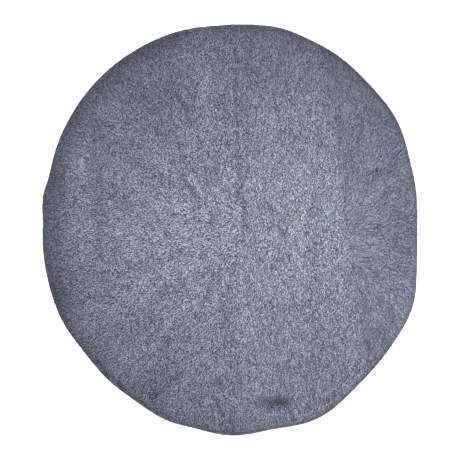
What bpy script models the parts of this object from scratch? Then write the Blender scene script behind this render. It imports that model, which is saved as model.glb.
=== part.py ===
# Radial steel wool floor pad, 17 in nominal, as one soft solid.
# A ribbon of steel wool is folded back and forth about the middle of the pad, so its fibres
# fan out from there to the rim, and the folds close the rim as a soft rolled edge.
# Metres, +Z up. The pad lies flat, with its origin under the middle of its box.

import math

import bmesh
import bpy
from mathutils import Vector

# Overall box of the pad.
PAD_WIDTH = 0.409            # along X
PAD_LENGTH = 0.448           # along Y
PAD_THICKNESS = 0.014        # at the thickest place

# Section of the pad.
RIM_THICKNESS = 0.0108       # of the rolled edge
CROWN_RISE = 0.0026          # from the rolled edge up to the gather
PLY_WAIST = 0.0007           # depth of the line between the two plies that meet at the rim

# The gather is the place where the ribbon's turns meet and from which its fibres fan out.
GATHER = Vector((0.0147, -0.0060))

# The last turn of the ribbon laps over the first one along a line from the gather to the rim.
LAP_DIRECTION = 88.9         # degrees, where the lap reaches the rim
LAP_HALF_WIDTH = 0.45        # degrees
LAP_STEP = 0.0016            # rise at the rim
LAP_FADE = 24.0              # degrees over which the rise dies out

# The first turn is a straight band beside the lap. Past its far edge the pad is thinner.
BAND_EDGE_X = 0.128          # where the edge crosses the X axis
BAND_EDGE_SLANT = -0.13      # run of X for each metre of Y
BAND_EDGE_WIDTH = 0.030
BAND_DROP = 0.0012

# Swells and slack places of the rim: direction and spread in degrees, height in metres.
RIM_SWELLS = (
    (13.0, 6.0, 0.0022),
    (33.0, 9.0, 0.0078),
    (57.0, 11.0, 0.0056),
    (76.0, 5.0, 0.0028),
    (94.0, 4.0, -0.0016),
    (136.0, 18.0, 0.0031),
    (163.0, 4.0, -0.0013),
    (170.0, 3.0, 0.0018),
    (178.0, 3.0, -0.0008),
    (221.0, 7.0, -0.0044),
    (240.0, 9.0, -0.0064),
    (260.0, 5.0, -0.0040),
    (282.0, 5.0, -0.0026),
    (297.0, 8.0, 0.0062),
    (320.0, 8.0, 0.0042),
    (337.0, 8.0, 0.0088),
)

# A pressed dent near the front rim, cut by an egg-shaped form.
DENT_PLACE = Vector((0.0495, -0.1887, 0.0155))
DENT_RADII = Vector((0.0175, 0.0078, 0.0062))
DENT_TURN = 8.0              # degrees about Z

# Fineness of the mesh.
MERIDIANS = 144
TOP_RINGS = 10
ROLL_STEPS = 8

STEEL_COLOR = (0.201, 0.212, 0.283, 1.0)
STEEL_ROUGHNESS = 0.55


def clear_scene():
    for old in list(bpy.data.objects):
        bpy.data.objects.remove(old, do_unlink=True)


def turn_between(direction, centre):
    # The shortest turn in degrees from one direction to another.
    return (direction - centre + 180.0) % 360.0 - 180.0


def soft_step(value):
    share = min(max(value, 0.0), 1.0)
    return share * share * (3.0 - 2.0 * share)


def rim_directions():
    # Even steps all round, apart from one close pair that makes the step of the lap.
    first = LAP_DIRECTION + LAP_HALF_WIDTH
    step = (360.0 - 2.0 * LAP_HALF_WIDTH) / (MERIDIANS - 1)
    return [first + step * index for index in range(MERIDIANS)]


def rim_point(direction):
    # The outline is an oval with soft swells, as the folds of the ribbon leave it.
    angle = math.radians(direction)
    across = math.cos(angle) / (PAD_WIDTH / 2.0)
    along = math.sin(angle) / (PAD_LENGTH / 2.0)
    radius = 1.0 / math.hypot(across, along)
    for centre, spread, height in RIM_SWELLS:
        turn = turn_between(direction, centre) / spread
        radius += height * math.exp(-0.5 * turn * turn)
    return Vector((radius * math.cos(angle), radius * math.sin(angle)))


def lap_rise(direction, share):
    past_lap = (direction - LAP_DIRECTION) % 360.0
    return LAP_STEP * share * math.exp(-past_lap / LAP_FADE)


def band_drop(place):
    edge = BAND_EDGE_X + BAND_EDGE_SLANT * place.y
    return BAND_DROP * soft_step((place.x - edge) / BAND_EDGE_WIDTH + 0.5)


def top_height(direction, share):
    place = GATHER + (rim_point(direction) - GATHER) * share
    crown = CROWN_RISE * (1.0 - share * share)
    return RIM_THICKNESS + crown + lap_rise(direction, share) - band_drop(place)


def roll_ring(directions, lean):
    # One ring of the rolled edge. Lean runs from -90 degrees under the pad to 90 on top.
    angle = math.radians(lean)
    waist = PLY_WAIST * math.exp(-(lean / 18.0) ** 2)
    points = []
    for direction in directions:
        rim = rim_point(direction)
        outward = (rim - GATHER).normalized()
        half = top_height(direction, 1.0) / 2.0
        inset = half * (1.0 - math.cos(angle)) + waist
        place = rim - outward * inset
        points.append(Vector((place.x, place.y, half + half * math.sin(angle))))
    return points


def top_ring(directions, step):
    # One ring of the upper face, on the way from the rolled edge in to the gather.
    points = []
    for direction in directions:
        run = rim_point(direction) - GATHER
        shoulder = 1.0 - 0.5 * top_height(direction, 1.0) / run.length
        share = shoulder * (1.0 - step / TOP_RINGS)
        place = GATHER + run * share
        points.append(Vector((place.x, place.y, top_height(direction, share))))
    return points


def loft(mesh, rings, crown):
    # Flat underside, walls from ring to ring, and a fan that closes on the gather.
    verts = [[mesh.verts.new(point) for point in ring] for ring in rings]
    mesh.faces.new(reversed(verts[0]))
    for lower, upper in zip(verts, verts[1:]):
        for index, corner in enumerate(lower):
            after = (index + 1) % len(lower)
            mesh.faces.new((corner, lower[after], upper[after], upper[index]))
    pole = mesh.verts.new(crown)
    last = verts[-1]
    for index, corner in enumerate(last):
        mesh.faces.new((corner, last[(index + 1) % len(last)], pole))


def fit_box(mesh):
    # Brings the mesh to the exact overall box, with the origin under its middle.
    places = [vert.co.copy() for vert in mesh.verts]
    low = Vector(min(place[axis] for place in places) for axis in range(3))
    high = Vector(max(place[axis] for place in places) for axis in range(3))
    middle = Vector(((low.x + high.x) / 2.0, (low.y + high.y) / 2.0, low.z))
    scale_x = PAD_WIDTH / (high.x - low.x)
    scale_y = PAD_LENGTH / (high.y - low.y)
    scale_z = PAD_THICKNESS / (high.z - low.z)
    for vert in mesh.verts:
        offset = vert.co - middle
        vert.co = Vector((offset.x * scale_x, offset.y * scale_y, offset.z * scale_z))


def steel_material():
    material = bpy.data.materials.new("steel_wool")
    material.use_nodes = True
    shader = material.node_tree.nodes["Principled BSDF"]
    shader.inputs["Base Color"].default_value = STEEL_COLOR
    shader.inputs["Metallic"].default_value = 1.0
    shader.inputs["Roughness"].default_value = STEEL_ROUGHNESS
    return material


def dent_cutter():
    mesh = bmesh.new()
    bmesh.ops.create_icosphere(mesh, subdivisions=2, radius=1.0)
    bmesh.ops.scale(mesh, vec=DENT_RADII, verts=mesh.verts)
    data = bpy.data.meshes.new("dent_cutter")
    mesh.to_mesh(data)
    mesh.free()
    cutter = bpy.data.objects.new("dent_cutter", data)
    cutter.location = DENT_PLACE
    cutter.rotation_euler.z = math.radians(DENT_TURN)
    cutter.hide_render = True
    cutter.display_type = "WIRE"
    bpy.context.scene.collection.objects.link(cutter)
    return cutter


def pad_body():
    directions = rim_directions()
    rings = []
    for step in range(ROLL_STEPS + 1):
        rings.append(roll_ring(directions, -90.0 + 180.0 * step / ROLL_STEPS))
    for step in range(1, TOP_RINGS):
        rings.append(top_ring(directions, step))
    crown = Vector((GATHER.x, GATHER.y, RIM_THICKNESS + CROWN_RISE))
    mesh = bmesh.new()
    loft(mesh, rings, crown)
    fit_box(mesh)
    data = bpy.data.meshes.new("steel_wool_pad")
    mesh.to_mesh(data)
    mesh.free()
    data.shade_smooth()
    data.set_sharp_from_angle(angle=math.radians(60.0))
    data.materials.append(steel_material())
    pad = bpy.data.objects.new("steel_wool_pad", data)
    bpy.context.scene.collection.objects.link(pad)
    return pad


def press_dent(pad, cutter):
    cut = pad.modifiers.new("pressed_dent", "BOOLEAN")
    cut.operation = "DIFFERENCE"
    cut.solver = "EXACT"
    cut.object = cutter


def main():
    clear_scene()
    press_dent(pad_body(), dent_cutter())


main()
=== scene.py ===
import bpy
import math
import numpy as np
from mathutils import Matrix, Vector, noise
from mathutils.bvhtree import BVHTree


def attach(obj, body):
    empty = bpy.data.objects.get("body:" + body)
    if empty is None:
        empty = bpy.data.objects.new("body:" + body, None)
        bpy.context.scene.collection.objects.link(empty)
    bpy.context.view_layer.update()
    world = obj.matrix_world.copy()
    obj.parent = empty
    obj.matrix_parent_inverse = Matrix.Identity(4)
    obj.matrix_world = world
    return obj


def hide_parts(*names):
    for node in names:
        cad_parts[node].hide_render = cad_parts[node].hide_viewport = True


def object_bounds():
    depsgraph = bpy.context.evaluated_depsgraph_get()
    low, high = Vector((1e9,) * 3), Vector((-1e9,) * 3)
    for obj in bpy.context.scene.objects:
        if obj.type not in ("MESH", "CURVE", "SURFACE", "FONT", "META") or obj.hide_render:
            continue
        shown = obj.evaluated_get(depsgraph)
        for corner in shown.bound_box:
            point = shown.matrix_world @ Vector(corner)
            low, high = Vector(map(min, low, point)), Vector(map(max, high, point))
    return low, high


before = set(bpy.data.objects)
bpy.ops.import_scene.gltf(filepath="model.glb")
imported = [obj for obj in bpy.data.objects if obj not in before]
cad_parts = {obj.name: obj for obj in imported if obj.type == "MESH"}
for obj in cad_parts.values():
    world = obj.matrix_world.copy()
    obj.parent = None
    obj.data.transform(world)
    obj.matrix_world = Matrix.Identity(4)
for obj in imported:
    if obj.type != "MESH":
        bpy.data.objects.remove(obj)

mm = 0.001
cadLow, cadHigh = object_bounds()
print("frame loaded")

cameraSet = {
    "lens": 85.0,
    "sensor": 36.0,
    "viewWidth": 500.2 * mm,    # what the picture spans at the height of the rim
    "rimHeight": 5.5 * mm,
}


def makeCamera(given):
    data = bpy.data.cameras.new("camera")
    data.lens = given["lens"]
    data.sensor_width = given["sensor"]
    camera = bpy.data.objects.new("camera", data)
    away = given["viewWidth"] * given["lens"] / given["sensor"]
    camera.location = (0.0, 0.0, given["rimHeight"] + away)
    bpy.context.scene.collection.objects.link(camera)
    bpy.context.scene.camera = camera


makeCamera(cameraSet)

# The ribbon's folds meet at the gather. Left of it the fibres fan out from the gather, then
# comes one straight turn of the ribbon, and past its edge the fibres fan out again.
grain = {
    "gather": (14.7 * mm, -6.0 * mm),
    "rightFocus": (111.5 * mm, -8.2 * mm),
    "bandStart": 12.0 * mm,
    "bandEnd": 128.0 * mm,
    "bandSlant": -0.13,         # run of X for each metre of Y along the band's far edge
    "bandLean": 0.06,           # radians that the band's fibres lean over
    "blend": 14.0 * mm,         # width over which one lie turns into the next
    "fleckStep": 0.36 * mm,     # how far flecks are drawn out along the fibres
    "bandCalm": 0.22,           # share of the flecks' contrast lost on the straight turn
    "pastBandCalm": 0.52,       # and past it, where the fibres lie flatter
}

# Slices of the noise: any numbers that differ, so that no two patterns are alike.
noiseSlices = {
    "pillows": 1.3,
    "leftRays": 2.6,
    "bandFurrows": 3.7,
    "bandRays": 5.2,
    "wanderX": 8.1,
    "rightRays": 9.4,
    "wanderY": 14.6,
}


def softStep(value):
    share = np.clip(value, 0.0, 1.0)
    return share * share * (3.0 - 2.0 * share)


def smoothNoise(x, y, z):
    # Smooth noise at each place. One number for z takes a single slice of it.
    places = zip(x, y, np.broadcast_to(z, x.shape))
    return np.array([noise.noise(Vector(place)) for place in places])


def regionShares(x, y):
    # How much of each lie of the fibres a place has: left fan, band and right fan.
    edge = grain["bandEnd"] + grain["bandSlant"] * y
    pastStart = softStep((x - grain["bandStart"]) / grain["blend"] + 0.5)
    pastEnd = softStep((x - edge) / grain["blend"] + 0.5)
    return 1.0 - pastStart, pastStart * (1.0 - pastEnd), pastEnd


def fanPlace(x, y, focus):
    # Direction and distance of each place from the focus of a fan.
    return np.arctan2(y - focus[1], x - focus[0]), np.hypot(x - focus[0], y - focus[1])


def grainDirection(x, y):
    # Direction of the fibres as an angle, found from doubled angles so that both ways agree.
    left, band, right = regionShares(x, y)
    leftTwice = 2.0 * fanPlace(x, y, grain["gather"])[0]
    rightTwice = 2.0 * fanPlace(x, y, grain["rightFocus"])[0]
    bandTwice = 2.0 * (math.pi / 2.0 + grain["bandLean"])
    cosines = left * np.cos(leftTwice) + band * math.cos(bandTwice) + right * np.cos(rightTwice)
    sines = left * np.sin(leftTwice) + band * math.sin(bandTwice) + right * np.sin(rightTwice)
    return 0.5 * np.arctan2(sines, cosines)


# Creases and pressed places of the upper face: points, width and depth in millimetres.
creases = (
    ("lap", ((3.0, 216), (3.8, 203), (7.1, 152), (8.2, 119), (10.3, 68), (12.5, 32), (17.9, 3)), 3.0, 0.5),
    ("lapTuck", ((7.4, 106), (9.5, 80), (11.5, 45), (12.5, 30)), 1.9, 0.6),
    ("gatherTuck", ((17.9, 3), (16.0, -8), (17.5, -22)), 3.0, 0.5),
    ("leftValley", ((-154, 88), (-147, 50), (-144, 10), (-146, -25)), 11.0, 0.4),
    ("diagonal", ((-66, 74), (-50, 52), (-27, 27)), 4.0, 0.5),
    ("diagonalTuck", ((-59, 65), (-47, 50), (-36, 36)), 2.1, 0.6),
    ("shortTuck", ((-27, 71), (-11, 51)), 3.2, 0.6),
    ("upperFurrow", ((42, 30), (50, 10), (58, -9)), 2.4, 0.45),
    ("middleFurrow", ((51, 3), (69, -29)), 3.4, 0.45),
    ("longFurrow", ((77, 6), (98, -64)), 3.4, 0.35),
    ("whorl", ((102, 2), (104, -1)), 4.5, 0.6),
    ("bandHollow", ((90, 26), (92, 20)), 6.0, 0.6),
    ("rightStreak", ((150, 45), (160, 65)), 4.5, 0.7),
    ("rightStreakOuter", ((172, 66), (184, 86)), 5.0, 0.7),
    ("rightHollow", ((176, 15), (187, 15)), 6.0, 0.6),
    ("rightHollowLow", ((184, -18), (194, -23)), 5.0, 0.6),
    ("dent", ((34, -187), (44, -190), (54, -189), (63, -186)), 6.0, 0.6),
    ("dentTail", ((65, -198), (67, -207)), 2.6, 1.1),
    ("frontTuck", ((-16, -186), (-13, -196), (-9, -203)), 3.6, 0.9),
    ("frontCrease", ((89, -174), (91, -191)), 3.5, 0.7),
    ("lowFurrow", ((-7, -92), (-8, -128)), 3.0, 0.5),
    ("lowSpot", ((8, -160), (9, -165)), 5.0, 0.7),
    ("lowHollow", ((-86, -181), (-62, -160)), 9.0, 0.7),
    ("underEdge", ((-146, -144), (-138, -153), (-112, -178)), 2.0, 1.1),
)
creaseLook = {
    "depthFall": 2.0,           # how sharply a crease ends to its sides, in its depth
    "shadeFall": 2.2,           # and in its shade
    "shadeLoss": 0.22,          # light lost for each millimetre of depth
    "mostLoss": 0.6,
    "ragged": 3.0 * mm,         # how far creases and patches wander off their lines
    "raggedSize": 7.0 * mm,
}

# Broad patches of the upper face painted darker or lighter: partly matting that is denser or looser, and
# partly painted shade and light. Middle and half widths in millimetres, and the change of shade.
shadePatches = (
    (42, 172, 30, 30, -0.14),
    (-28, 170, 24, 34, 0.08),
    (-25, 212, 13, 8, 0.28),
    # painted shade where the light falls off towards the top left
    (-95, 150, 60, 45, -0.10),
    (-164, 45, 13, 60, 0.13),
    (-80, -20, 60, 50, 0.05),
    (75, 20, 70, 60, 0.04),
    (192, -5, 14, 55, -0.13),
    (95, -130, 90, 60, -0.09),
    (-75, -175, 40, 25, -0.10),
    # painted shade along the left rim, which rolls away from the light
    (-185, -60, 18, 70, -0.18),
    (-187, -94, 18, 24, -0.10),
    (-127, 12, 26, 60, 0.05),
    (-70, 203, 16, 10, -0.10),
    (168, -20, 20, 55, -0.06),
    (168, 118, 20, 26, -0.06),
    (168, -130, 24, 26, -0.06),
    # painted shadow down in the dent
    (53, -188, 17, 6, -0.45),
    (36, -190, 13, 3, -0.22),
)
pastBandShade = 0.11            # loss past the far edge of the straight turn

# Broad soft rays, lighter and darker, that run with the fibres; they scale the painted shade.
rays = {
    "strength": 0.18,
    "turns": 7.0,               # how closely they follow each other round a focus
    "clear": 90.0 * mm,         # how far from a focus they are at full strength
    "rightShare": 0.5,          # strength of the right fan's rays beside the left fan's
    "bandShare": 0.5,           # and of the band's streaks
    "bandWidth": 17.0 * mm,
    "bandLength": 260.0 * mm,
}


def lineDistance(x, y, points):
    # Distance from each place to a bent line.
    best = np.full(x.shape, np.inf)
    for (ax, ay), (bx, by) in zip(points, points[1:]):
        ux, uy = (bx - ax) * mm, (by - ay) * mm
        share = np.clip(((x - ax * mm) * ux + (y - ay * mm) * uy) / (ux * ux + uy * uy), 0.0, 1.0)
        best = np.minimum(best, np.hypot(x - ax * mm - share * ux, y - ay * mm - share * uy))
    return best


def wander(x, y):
    # Places moved a little to and fro, so that creases and patches have ragged edges.
    size = creaseLook["raggedSize"]
    shiftX = smoothNoise(x / size, y / size, noiseSlices["wanderX"])
    shiftY = smoothNoise(x / size, y / size, noiseSlices["wanderY"])
    return x + creaseLook["ragged"] * shiftX, y + creaseLook["ragged"] * shiftY


def creaseProfiles(x, y, fall):
    # Each crease's depth in millimetres, and how much of it each place has.
    for name, points, width, depth in creases:
        away = lineDistance(x, y, points) / (width * mm)
        yield depth, np.exp(-fall * away * away)


def rayNoise(x, y):
    left, band, right = regionShares(x, y)
    streaks = smoothNoise(x / rays["bandWidth"], y / rays["bandLength"], noiseSlices["bandRays"])
    total = rays["bandShare"] * band * streaks
    fans = (
        (left, grain["gather"], noiseSlices["leftRays"]),
        (rays["rightShare"] * right, grain["rightFocus"], noiseSlices["rightRays"]),
    )
    for share, focus, noiseSlice in fans:
        angle, reach = fanPlace(x, y, focus)
        far = softStep(reach / rays["clear"])
        circle = rays["turns"] * np.cos(angle), rays["turns"] * np.sin(angle)
        total += share * far * smoothNoise(*circle, noiseSlice)
    return total


def upperShade(x, y):
    # Painted shade for the light that reaches a place: less of it down in the creases, and in broad soft
    # patches, which are partly matting too.
    x, y = wander(x, y)
    shade = np.ones(x.shape)
    for depth, profile in creaseProfiles(x, y, creaseLook["shadeFall"]):
        shade *= 1.0 - min(creaseLook["shadeLoss"] * depth, creaseLook["mostLoss"]) * profile
    for centreX, centreY, halfX, halfY, change in shadePatches:
        away = ((x - centreX * mm) / (halfX * mm)) ** 2 + ((y - centreY * mm) / (halfY * mm)) ** 2
        shade *= 1.0 + change * np.exp(-away)
    left, band, right = regionShares(x, y)
    return shade * (1.0 - pastBandShade * right) * (1.0 + rays["strength"] * rayNoise(x, y))


def copyNode(nodeName, pieceName):
    # A merged copy of the frame's solid, to be shaped further. The node itself stays as it is.
    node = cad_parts[nodeName]
    piece = bpy.data.objects.new(pieceName, node.data.copy())
    bpy.context.scene.collection.objects.link(piece)
    bpy.ops.object.select_all(action="DESELECT")
    piece.select_set(True)
    bpy.context.view_layer.objects.active = piece
    bpy.ops.object.mode_set(mode="EDIT")
    bpy.ops.mesh.select_all(action="SELECT")
    bpy.ops.mesh.remove_doubles(threshold=0.01 * mm)
    bpy.ops.object.mode_set(mode="OBJECT")
    piece.data.materials.clear()
    return piece


def vertexArrays(piece):
    count = len(piece.data.vertices)
    co = np.empty(count * 3, dtype=np.float32)
    normal = np.empty(count * 3, dtype=np.float32)
    piece.data.vertices.foreach_get("co", co)
    piece.data.vertices.foreach_get("normal", normal)
    return co.reshape(-1, 3).astype(float), normal.reshape(-1, 3).astype(float)


def smoothPiece(piece, times, group=""):
    smooth = piece.modifiers.new("smooth", "SMOOTH")
    smooth.factor = 0.5
    smooth.iterations = times
    smooth.vertex_group = group
    bpy.ops.object.modifier_apply(modifier="smooth")


def keepValues(mesh, name, values):
    # Keeps a number at each vertex for the material to read.
    mesh.attributes.new(name, "FLOAT", "POINT").data.foreach_set("value", values)


def markGrain(mesh, direction, x, y):
    # Keeps the way that the flecks are drawn out in, and how calm they are.
    step = direction * grain["fleckStep"]
    mesh.attributes.new("grainStep", "FLOAT_VECTOR", "POINT").data.foreach_set("vector", step.ravel())
    left, band, right = regionShares(x, y)
    keepValues(mesh, "calm", grain["bandCalm"] * band + grain["pastBandCalm"] * right)


flatMap = {
    "slant": (0.45, 0.30),      # shift for each unit of height, so that upright faces keep some width
    "margin": 0.02,
    "span": 0.92,
    "upperShare": 0.62,         # of the map's width, and the underside has the rest
    "gap": 0.01,
    "downBelow": -0.05,         # a face whose normal has less Z than this is on the underside
}


def layFlatMap(mesh, twoSides):
    # A map laid out as seen from above, through which the pattern is baked at its true scale.
    # A piece with two sides has them beside each other.
    vertexOf = np.empty(len(mesh.loops), dtype=np.int32)
    mesh.loops.foreach_get("vertex_index", vertexOf)
    co = np.empty(len(mesh.vertices) * 3, dtype=np.float32)
    mesh.vertices.foreach_get("co", co)
    co = co.reshape(-1, 3)[vertexOf]
    size = cadHigh - cadLow
    slantX, slantY = flatMap["slant"]
    u = flatMap["margin"] + flatMap["span"] * (co[:, 0] + slantX * co[:, 2] - cadLow.x) / size.x
    v = flatMap["margin"] + flatMap["span"] * (co[:, 1] + slantY * co[:, 2] - cadLow.y) / size.y
    if twoSides:
        down = np.array([face.normal.z < flatMap["downBelow"] for face in mesh.polygons])
        downCorner = np.repeat(down, [face.loop_total for face in mesh.polygons])
        share = flatMap["upperShare"]
        upper = u * (share - flatMap["gap"])
        under = share + flatMap["gap"] + u * (1.0 - share - flatMap["gap"])
        u = np.where(downCorner, under, upper)
    places = np.stack([u, v], axis=1).astype(np.float32)
    mesh.uv_layers.new(name="OFBake").uv.foreach_set("vector", places.ravel())


bodySet = {
    "voxel": 1.8 * mm,
    "smoothing": 4,
    "dentPlace": (49.5 * mm, -188.7 * mm),
    "dentReach": 24.0 * mm,     # the cut edges of the frame's dent are smoothed out this far
    "dentSmoothing": 40,
    "upperTilt": 0.15,          # the upper face starts at this Z of the normal
    "underTilt": 0.3,           # and the lower face at this much downwards
    "tiltBlend": 0.5,
    "upperAbove": 0.225,        # no upper face is lower than this share of the thickness
    "rimIn": 0.5 * mm,          # how far the matted body stays inside the fibres that cover it
    "underIn": 0.9 * mm,
    "underFollow": 0.5,         # share of the upper face's sinking that the lower face mirrors
    "lowest": 0.35 * mm,
    "rimFall": 24.0 * mm,       # width over which the upper face falls away to the rim
    "fallDepth": 2.6 * mm,
    "fallSide": 150.0,          # direction in degrees where the rim is most slack
    "fallEven": 0.55,           # share of the fall that has no direction
    "furrowDepth": 0.14 * mm,
    "furrowWidth": 6.5 * mm,    # as wide as this at furrowReach from a focus
    "furrowReach": 120.0 * mm,
    "furrowLength": 60.0 * mm,
    "pillowDepth": 0.3 * mm,
    "pillowSize": 42.0 * mm,
    "lapStep": 0.6 * mm,        # added to the step that the frame's solid has already
    "lapPlace": 8.0 * mm,       # X of the step
    "lapWidth": 3.0 * mm,
    "lapFade": 60.0 * mm,       # the raised side dies out over this distance
    "lapGrowth": 120.0 * mm,    # and the step grows over this distance towards the rim
}


def remeshPad(given):
    # An even, smooth mesh of the frame's pad, with its dent softened.
    piece = copyNode("steel_wool_pad", "matted_body")
    remesh = piece.modifiers.new("remesh", "REMESH")
    remesh.mode = "VOXEL"
    remesh.voxel_size = given["voxel"]
    bpy.ops.object.modifier_apply(modifier="remesh")
    smoothPiece(piece, given["smoothing"])
    dentX, dentY = given["dentPlace"]
    near = piece.vertex_groups.new(name="dent")
    for vert in piece.data.vertices:
        if math.hypot(vert.co.x - dentX, vert.co.y - dentY) < given["dentReach"]:
            near.add([vert.index], 1.0, "REPLACE")
    smoothPiece(piece, given["dentSmoothing"], "dent")
    piece.vertex_groups.clear()
    return piece


def rimDistance(co):
    # Distance of each place from the outline, whose radius is taken in whole degrees.
    turn = (np.degrees(np.arctan2(co[:, 1], co[:, 0])) % 360.0).astype(int)
    out = np.hypot(co[:, 0], co[:, 1])
    radius = np.zeros(360)
    np.maximum.at(radius, turn, out)
    return radius[turn] - out


def furrowNoise(x, y, given):
    # Long shallow furrows that run with the fibres.
    left, band, right = regionShares(x, y)
    total = np.zeros(x.shape)
    turns = given["furrowReach"] / given["furrowWidth"]
    for share, focus in ((left, grain["gather"]), (right, grain["rightFocus"])):
        angle, reach = fanPlace(x, y, focus)
        run = reach / given["furrowLength"]
        total += share * smoothNoise(turns * np.cos(angle), turns * np.sin(angle), run)
    straight = x / given["furrowWidth"], y / given["furrowLength"]
    return total + band * smoothNoise(*straight, noiseSlices["bandFurrows"])


def upperLift(x, y, fromRim, given):
    # How far each place of the upper face is raised.
    lift = given["furrowDepth"] * furrowNoise(x, y, given)
    size = given["pillowSize"]
    lift += given["pillowDepth"] * smoothNoise(x / size, y / size, noiseSlices["pillows"])
    facing = np.cos(np.arctan2(y, x) - math.radians(given["fallSide"]))
    slack = given["fallEven"] + (1.0 - given["fallEven"]) * facing
    lift -= given["fallDepth"] * slack * np.clip(1.0 - fromRim / given["rimFall"], 0.0, 1.0) ** 2
    for depth, profile in creaseProfiles(*wander(x, y), creaseLook["depthFall"]):
        lift -= depth * mm * profile
    raised = softStep((given["lapPlace"] - x) / given["lapWidth"] + 0.5)
    raised *= np.exp(-np.abs(x) / given["lapFade"])
    return lift + given["lapStep"] * raised * softStep(y / given["lapGrowth"])


def makeBody(given):
    piece = remeshPad(given)
    co, normal = vertexArrays(piece)
    x, y = co[:, 0].copy(), co[:, 1].copy()
    upperFrom = cadLow.z + given["upperAbove"] * (cadHigh.z - cadLow.z)
    upper = softStep((normal[:, 2] - given["upperTilt"]) / given["tiltBlend"]) * (co[:, 2] > upperFrom)
    under = softStep((-normal[:, 2] - given["underTilt"]) / given["tiltBlend"])
    lift = upperLift(x, y, rimDistance(co), given)
    co[:, 2] += upper * lift + under * (given["underIn"] - given["underFollow"] * lift)
    co[:, :2] -= normal[:, :2] * given["rimIn"]
    co[:, 2] = np.maximum(co[:, 2], given["lowest"])
    piece.data.vertices.foreach_set("co", co.ravel())
    piece.data.update()
    piece.data.shade_smooth()
    angle = grainDirection(x, y)
    markGrain(piece.data, np.stack([np.cos(angle), np.sin(angle), np.zeros(x.shape)], axis=1), x, y)
    keepValues(piece.data, "shade", 1.0 + upper * (upperShade(x, y) - 1.0))
    layFlatMap(piece.data, twoSides=True)
    print("body has", len(piece.data.polygons), "faces")
    return piece


body = makeBody(bodySet)

# Real fibres are 0.05 to 0.1 mm thick and can't be told apart at this size, so each modelled
# one stands for a wisp of several and is several times as thick. Lengths, widths and lifts off
# the body are in millimetres, and spread is how far fibres stray from the grain, in radians.
fibreSets = (
    {
        "name": "wool_deep", "under": False, "count": 6000, "seed": 11, "rings": 4,
        "length": (7, 14), "width": (0.36, 0.56), "lift": (0.0, 0.15), "spread": 0.42,
    },
    {
        "name": "wool_middle", "under": False, "count": 9500, "seed": 23, "rings": 4,
        "length": (5, 10), "width": (0.30, 0.48), "lift": (0.0, 0.25), "spread": 0.46,
    },
    {
        "name": "wool_upper", "under": False, "count": 23500, "seed": 37, "rings": 2,
        "length": (1.8, 4.0), "width": (0.32, 0.52), "lift": (0.1, 0.35), "spread": 0.46,
    },
    {
        "name": "wool_glint", "under": False, "count": 15000, "seed": 53, "rings": 2,
        "length": (1.5, 3.6), "width": (0.32, 0.52), "lift": (0.15, 0.4), "spread": 0.50,
    },
    {
        "name": "wool_under", "under": True, "count": 8600, "seed": 71, "rings": 4,
        "length": (8, 20), "width": (0.42, 0.66), "lift": (0.05, 0.35), "spread": 0.5,
    },
)
fibreLook = {
    "sides": 3,
    "tipShare": 0.35,           # thickness of a tip beside the middle's
    "bend": 0.28,               # spread of a fibre's turns from ring to ring, in radians
    "twist": 0.5,
    "upperDownTo": -0.55,       # upper fibres start where the normal has more Z than this
    "underUpTo": -0.2,          # and lower ones where it has less than this
    "shortest": 1e-4,           # a heading shorter than this has no direction of its own
}


def modelFibre(rings):
    # One fibre, 1 in radius, with a ring at each whole step: a three-sided rod with slim ends.
    half = 0.5 * (rings - 1)
    tip = fibreLook["tipShare"]
    bpy.ops.object.select_all(action="DESELECT")
    bpy.ops.mesh.primitive_cylinder_add(
        vertices=fibreLook["sides"], radius=1.0, depth=2.0 * half, end_fill_type="NGON")
    rod = bpy.context.active_object
    bpy.ops.object.mode_set(mode="EDIT")
    for cut in range(1, rings - 1):
        bpy.ops.mesh.select_all(action="SELECT")
        bpy.ops.mesh.bisect(plane_co=(0.0, 0.0, cut - half), plane_no=(0.0, 0.0, 1.0))
    bpy.ops.mesh.select_all(action="SELECT")
    bpy.ops.mesh.quads_convert_to_tris()
    bpy.ops.mesh.select_all(action="DESELECT")
    bpy.ops.object.mode_set(mode="OBJECT")
    for vert in rod.data.vertices:
        vert.select = abs(vert.co.z) > half - 0.1
    bpy.ops.object.mode_set(mode="EDIT")
    bpy.ops.transform.resize(value=(tip, tip, 1.0))
    bpy.ops.object.mode_set(mode="OBJECT")
    co, normal = vertexArrays(rod)
    faces = np.array([list(face.vertices) for face in rod.data.polygons])
    bpy.data.objects.remove(rod, do_unlink=True)
    return {"co": co, "faces": faces, "ring": np.rint(co[:, 2] + half).astype(int)}


modelFibres = {rings: modelFibre(rings) for rings in (2, 4)}


def surfaceOf(piece):
    # The body's triangles with their areas and normals, and a tree to find near places on it.
    mesh = piece.data
    mesh.calc_loop_triangles()
    co, normal = vertexArrays(piece)
    corners = np.array([list(tri.vertices) for tri in mesh.loop_triangles])
    a, b, c = co[corners[:, 0]], co[corners[:, 1]], co[corners[:, 2]]
    cross = np.cross(b - a, c - a)
    area = 0.5 * np.linalg.norm(cross, axis=1)
    tree = BVHTree.FromPolygons([Vector(place) for place in co], corners.tolist())
    return {"a": a, "b": b, "c": c, "area": area, "up": cross[:, 2] / (2.0 * area), "tree": tree}


surface = surfaceOf(body)


def startPlaces(given, draw):
    # Even random places on one side of the body, the rim included on both.
    if given["under"]:
        wanted = surface["area"] * (surface["up"] < fibreLook["underUpTo"])
    else:
        wanted = surface["area"] * (surface["up"] > fibreLook["upperDownTo"])
    pick = draw.choice(len(wanted), size=given["count"], p=wanted / wanted.sum())
    u = draw.random(given["count"])
    v = draw.random(given["count"])
    flip = u + v > 1.0
    u[flip] = 1.0 - u[flip]
    v[flip] = 1.0 - v[flip]
    a, b, c = surface["a"][pick], surface["b"][pick], surface["c"][pick]
    return a + (b - a) * u[:, None] + (c - a) * v[:, None]


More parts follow.
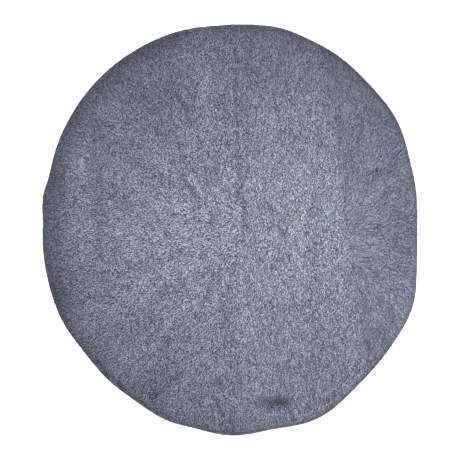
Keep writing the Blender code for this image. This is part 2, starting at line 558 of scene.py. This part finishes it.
def drawFibres(given):
    # What chance decides for each fibre. The order of the draws matters.
    draw = np.random.default_rng(given["seed"])
    count = given["count"]
    atRings = (count, given["rings"])
    starts = startPlaces(given, draw)
    angle = grainDirection(starts[:, 0], starts[:, 1]) + draw.normal(0.0, given["spread"], count)
    angle = angle + math.pi * draw.integers(0, 2, count)
    length = draw.uniform(*given["length"], count) * mm
    radius = 0.5 * draw.uniform(*given["width"], count) * mm
    bend = draw.normal(0.0, fibreLook["bend"], atRings)
    lift = draw.uniform(*given["lift"], atRings) * mm
    roll = draw.uniform(0.0, 2.0 * math.pi, (count, 1)) + draw.normal(0.0, fibreLook["twist"], atRings)
    tone = draw.random(count)
    tint = draw.random(count)
    return {"starts": starts, "angle": angle, "length": length, "radius": radius, "bend": bend,
            "lift": lift, "roll": roll, "tone": tone, "tint": tint}


def walkFibre(drawn, index):
    # Leads one fibre over the body: the middle of each of its rings, and the way out there.
    lift = drawn["lift"][index]
    bend = drawn["bend"][index]
    angle = drawn["angle"][index]
    step = drawn["length"][index] / (len(lift) - 1)
    place = Vector(drawn["starts"][index])
    heading = Vector((math.cos(angle), math.sin(angle), 0.0))
    centres = []
    normals = []
    for ringLift, ringBend in zip(lift, bend):
        near, normal, face, away = surface["tree"].find_nearest(place)
        centres.append(near + normal * ringLift)
        normals.append(normal)
        heading = heading - normal * heading.dot(normal)
        if heading.length < fibreLook["shortest"]:
            heading = Vector((0.0, 0.0, -1.0)) - normal * -normal.z
        heading.normalize()
        side = normal.cross(heading)
        heading = (heading + side * ringBend).normalized()
        place = near + heading * step
    return centres, normals


def sweepFibres(drawn, model):
    # The modelled fibre swept along every walk: its places, its faces and the way it runs.
    walks = [walkFibre(drawn, index) for index in range(len(drawn["starts"]))]
    centre = np.array([centres for centres, normals in walks])
    outward = np.array([normals for centres, normals in walks])
    radius = drawn["radius"][:, None]
    centre[:, :, 2] = np.maximum(centre[:, :, 2], radius)
    along = np.gradient(centre, axis=1)
    along /= np.linalg.norm(along, axis=2, keepdims=True)
    side = np.cross(outward, along)
    side /= np.linalg.norm(side, axis=2, keepdims=True)
    lifted = np.cross(along, side)
    ring = model["ring"]
    cosine = np.cos(drawn["roll"][:, ring])
    sine = np.sin(drawn["roll"][:, ring])
    modelX, modelY = model["co"][None, :, 0], model["co"][None, :, 1]
    acrossX = (modelX * cosine - modelY * sine) * radius
    acrossY = (modelX * sine + modelY * cosine) * radius
    co = centre[:, ring] + side[:, ring] * acrossX[:, :, None] + lifted[:, ring] * acrossY[:, :, None]
    faces = model["faces"][None] + (np.arange(len(walks)) * len(ring))[:, None, None]
    return co.reshape(-1, 3), faces.reshape(-1, 3), along[:, ring].reshape(-1, 3)


def layFibres(given):
    drawn = drawFibres(given)
    model = modelFibres[given["rings"]]
    co, faces, along = sweepFibres(drawn, model)
    x, y = co[:, 0].copy(), co[:, 1].copy()
    mesh = bpy.data.meshes.new(given["name"])
    mesh.from_pydata(co.tolist(), [], faces.tolist())
    mesh.update()
    mesh.shade_smooth()
    keepValues(mesh, "tone", np.repeat(drawn["tone"], len(model["ring"])))
    keepValues(mesh, "tint", np.repeat(drawn["tint"], len(model["ring"])))
    keepValues(mesh, "shade", np.ones(x.shape) if given["under"] else upperShade(x, y))
    markGrain(mesh, along, x, y)
    layFlatMap(mesh, twoSides=False)
    piece = bpy.data.objects.new(given["name"], mesh)
    bpy.context.scene.collection.objects.link(piece)
    print(given["name"], "has", len(mesh.polygons), "faces")
    return piece


fibres = {given["name"]: layFibres(given) for given in fibreSets}


def linearColor(hexColor):
    # sRGB hex to linear light.
    values = [int(hexColor[start:start + 2], 16) / 255.0 for start in (1, 3, 5)]
    return [v / 12.92 if v <= 0.04045 else ((v + 0.055) / 1.055) ** 2.4 for v in values] + [1.0]


def addNode(material, kind, links=(), **settings):
    # Adds a node, sets its inputs or properties by name and links what is given.
    node = material.node_tree.nodes.new(kind)
    for name, value in settings.items():
        if hasattr(node, name):
            setattr(node, name, value)
        else:
            node.inputs[name.replace("_", " ")].default_value = value
    for source, target in links:
        material.node_tree.links.new(source, node.inputs[target])
    return node


# Sockets of a Mix node, by number because the ones for numbers and colours share their names.
numberA, numberB, numberOut = 2, 3, 0
colorA, colorB, colorOut = 6, 7, 2

# Every piece is shaved low-carbon steel, bare and lightly oiled. Toothed blades shave it off wire
# as thin three-edged ribbons, so a single face can flash while the mass of them looks dull.
steelTones = {
    # name: dark colour, light colour, roughness, share of the tone that is flecks
    # packed tight by folding and rolling, its dark flecks painted shade for the gaps: the dullest of them all
    "matted_body": ("#3B3E4A", "#B0B4C3", 0.64, 0.92),
    # long fibres pressed into the mat, as grey as it is
    "wool_deep": ("#3B3E4A", "#B0B4C3", 0.62, 0.90),
    # fibres nearer the light, so a little lighter
    "wool_middle": ("#393C48", "#B5B9C9", 0.60, 0.85),
    # shavings that lie loose on top, with painted light and shade: some dark as if edge up, some light as if
    # flat
    "wool_upper": ("#2F323E", "#C7CBDA", 0.56, 0.75),
    # the lightest shavings, painted bright: painted highlights for small sharp glints off their broad faces
    "wool_glint": ("#292C38", "#DBDFEC", 0.52, 0.65),
    # pressed flat by the pad's own weight, so an even grey
    "wool_under": ("#4A4D59", "#BCC0D0", 0.58, 0.80),
}
steelLook = {
    "fleckSize": 0.85 * mm,     # of light and dark flecks, coarser than the real 0.3 mm so that they show
    "fleckTurn": (0.7, 0.5, 0.3),   # tips the noise, which is faint along its own planes
    "fleckLow": 0.40,           # noise levels taken as fully dark and fully light
    "fleckHigh": 0.60,
    "bodyGrain": 2.0 * mm,      # size of the body's own tones, where the fibres have one each
    "cloudSize": 45.0 * mm,     # of the faint broad patches
    "cloudShare": 0.10,
    "middleTone": 0.5,          # what calm places fade to
    "warmCast": "#FEEEEE",
    "coolCast": "#E0F1FF",
    "dulling": 0.10,            # change of roughness from the middle to a dark or a light fleck
    "bumpHeight": 0.15 * mm,
    "bumpStrength": 0.25,
}


def fleckNoise(material, place):
    # Light and dark flecks, drawn out along the grain: the noise is read at three places in a
    # row and shared between them.
    scale = 1.0 / steelLook["fleckSize"]
    turn = steelLook["fleckTurn"]
    step = addNode(material, "ShaderNodeAttribute", attribute_name="grainStep").outputs["Vector"]
    turned = addNode(material, "ShaderNodeMapping", [(place, "Vector")], Rotation=turn)
    turnedStep = addNode(material, "ShaderNodeMapping", [(step, "Vector")], Rotation=turn)
    ends = [(turned.outputs[0], 0), (turnedStep.outputs[0], 1)]
    ahead = addNode(material, "ShaderNodeVectorMath", ends, operation="ADD")
    behind = addNode(material, "ShaderNodeVectorMath", ends, operation="SUBTRACT")
    reads = []
    for spot in (turned, ahead, behind):
        read = addNode(material, "ShaderNodeTexNoise", [(spot.outputs[0], "Vector")], Scale=scale, Detail=1.0)
        reads.append(read.outputs["Fac"])
    pair = addNode(material, "ShaderNodeMath", [(reads[0], 0), (reads[1], 1)], operation="ADD")
    total = addNode(material, "ShaderNodeMath", [(pair.outputs[0], 0), (reads[2], 1)], operation="ADD")
    low = len(reads) * steelLook["fleckLow"]
    high = len(reads) * steelLook["fleckHigh"]
    ranged = addNode(material, "ShaderNodeMapRange", [(total.outputs[0], "Value")],
                     From_Min=low, From_Max=high)
    return ranged.outputs[0]


def ownTones(material, name, place):
    # Tone and tint of each fibre, or the body's own soft grain for both.
    if name == "matted_body":
        grainNoise = addNode(material, "ShaderNodeTexNoise", [(place, "Vector")],
                             Scale=1.0 / steelLook["bodyGrain"], Detail=1.0)
        return grainNoise.outputs["Fac"], grainNoise.outputs["Fac"]
    tone = addNode(material, "ShaderNodeAttribute", attribute_name="tone")
    tint = addNode(material, "ShaderNodeAttribute", attribute_name="tint")
    return tone.outputs["Fac"], tint.outputs["Fac"]


def blendColors(material, factor, first, second):
    mix = addNode(material, "ShaderNodeMix", [(factor, "Factor")], data_type="RGBA")
    mix.inputs[colorA].default_value = linearColor(first)
    mix.inputs[colorB].default_value = linearColor(second)
    return mix.outputs[colorOut]


def multiplyColors(material, first, second):
    mix = addNode(material, "ShaderNodeMix", [(first, colorA), (second, colorB)],
                  data_type="RGBA", blend_type="MULTIPLY", Factor=1.0)
    return mix.outputs[colorOut]


def steelWool(name):
    dark, light, roughness, fleckShare = steelTones[name]
    material = bpy.data.materials.new("shaved_steel_" + name)
    material.use_nodes = True
    links = material.node_tree.links
    shader = material.node_tree.nodes["Principled BSDF"]
    place = addNode(material, "ShaderNodeTexCoord").outputs["Object"]
    flecks = fleckNoise(material, place)
    clouds = addNode(material, "ShaderNodeTexNoise", [(place, "Vector")],
                     Scale=1.0 / steelLook["cloudSize"], Detail=2.0, Roughness=0.5)
    tone, tint = ownTones(material, name, place)
    shared = addNode(material, "ShaderNodeMix", [(tone, numberA), (flecks, numberB)], Factor=fleckShare)
    calm = addNode(material, "ShaderNodeAttribute", attribute_name="calm").outputs["Fac"]
    calmed = addNode(material, "ShaderNodeMix", [(calm, "Factor"), (shared.outputs[numberOut], numberA)])
    calmed.inputs[numberB].default_value = steelLook["middleTone"]
    ends = [(calmed.outputs[numberOut], numberA), (clouds.outputs["Fac"], numberB)]
    patched = addNode(material, "ShaderNodeMix", ends, Factor=steelLook["cloudShare"])
    toned = blendColors(material, patched.outputs[numberOut], dark, light)
    cast = blendColors(material, tint, steelLook["coolCast"], steelLook["warmCast"])
    shade = addNode(material, "ShaderNodeAttribute", attribute_name="shade").outputs["Fac"]
    shaded = multiplyColors(material, multiplyColors(material, toned, cast), shade)
    links.new(shaded, shader.inputs["Base Color"])
    dulled = addNode(material, "ShaderNodeMapRange", [(flecks, "Value")],
                     To_Min=roughness + steelLook["dulling"], To_Max=roughness - steelLook["dulling"])
    links.new(dulled.outputs[0], shader.inputs["Roughness"])
    bump = addNode(material, "ShaderNodeBump", [(flecks, "Height")],
                   Strength=steelLook["bumpStrength"], Distance=steelLook["bumpHeight"])
    links.new(bump.outputs[0], shader.inputs["Normal"])
    shader.inputs["Metallic"].default_value = 1.0
    return material


for name, piece in list(fibres.items()) + [("matted_body", body)]:
    piece.data.materials.append(steelWool(name))
    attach(piece, "root")
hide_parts("steel_wool_pad")
print("materials done")

white = (1.0, 1.0, 1.0, 1.0)
studio = {
    "floorColor": "#F4F4F4",
    "floorRoughness": 0.9,
    "floorSize": 200.0,
    "floorDrop": 0.02 * mm,     # keeps the floor clear of the pad's lowest faces
    "floorGlow": 0.9,
    "worldLight": 0.28,
}
lights = (
    # name, place, size and power
    ("front_light", (0.04, 0.01, 0.62), 0.14, 1.22),
    ("key_light", (0.5, -0.25, 2.6), 0.3, 30.0),
    ("side_light", (0.75, -0.2, 0.55), 0.5, 2.6),
)


def addArea(name, place, size, power):
    # A square light that faces the pad.
    data = bpy.data.lights.new(name, "AREA")
    data.size = size
    data.energy = power
    light = bpy.data.objects.new(name, data)
    light.location = place
    light.rotation_euler = Vector(place).to_track_quat("Z", "Y").to_euler()
    light.visible_camera = False
    bpy.context.scene.collection.objects.link(light)


def mattPaint(given):
    # Matt white paint: rolled on, so it spreads light evenly and shows no edge of its own.
    paint = bpy.data.materials.new("matt_white_paint")
    paint.use_nodes = True
    shader = paint.node_tree.nodes["Principled BSDF"]
    shader.inputs["Base Color"].default_value = linearColor(given["floorColor"])
    shader.inputs["Roughness"].default_value = given["floorRoughness"]
    shader.inputs["Emission Color"].default_value = white
    shader.inputs["Emission Strength"].default_value = given["floorGlow"]
    return paint


def makeStudio(given):
    bpy.ops.object.select_all(action="DESELECT")
    bpy.ops.mesh.primitive_plane_add(size=given["floorSize"], location=(0.0, 0.0, -given["floorDrop"]))
    floor = bpy.context.active_object
    floor.name = "floor"
    floor.data.materials.append(mattPaint(given))
    world = bpy.data.worlds.new("studio")
    world.use_nodes = True
    world.node_tree.nodes["Background"].inputs["Color"].default_value = white
    world.node_tree.nodes["Background"].inputs["Strength"].default_value = given["worldLight"]
    bpy.context.scene.world = world
    for light in lights:
        addArea(*light)
    bpy.context.scene.view_settings.view_transform = "Standard"


makeStudio(studio)
print("studio done")
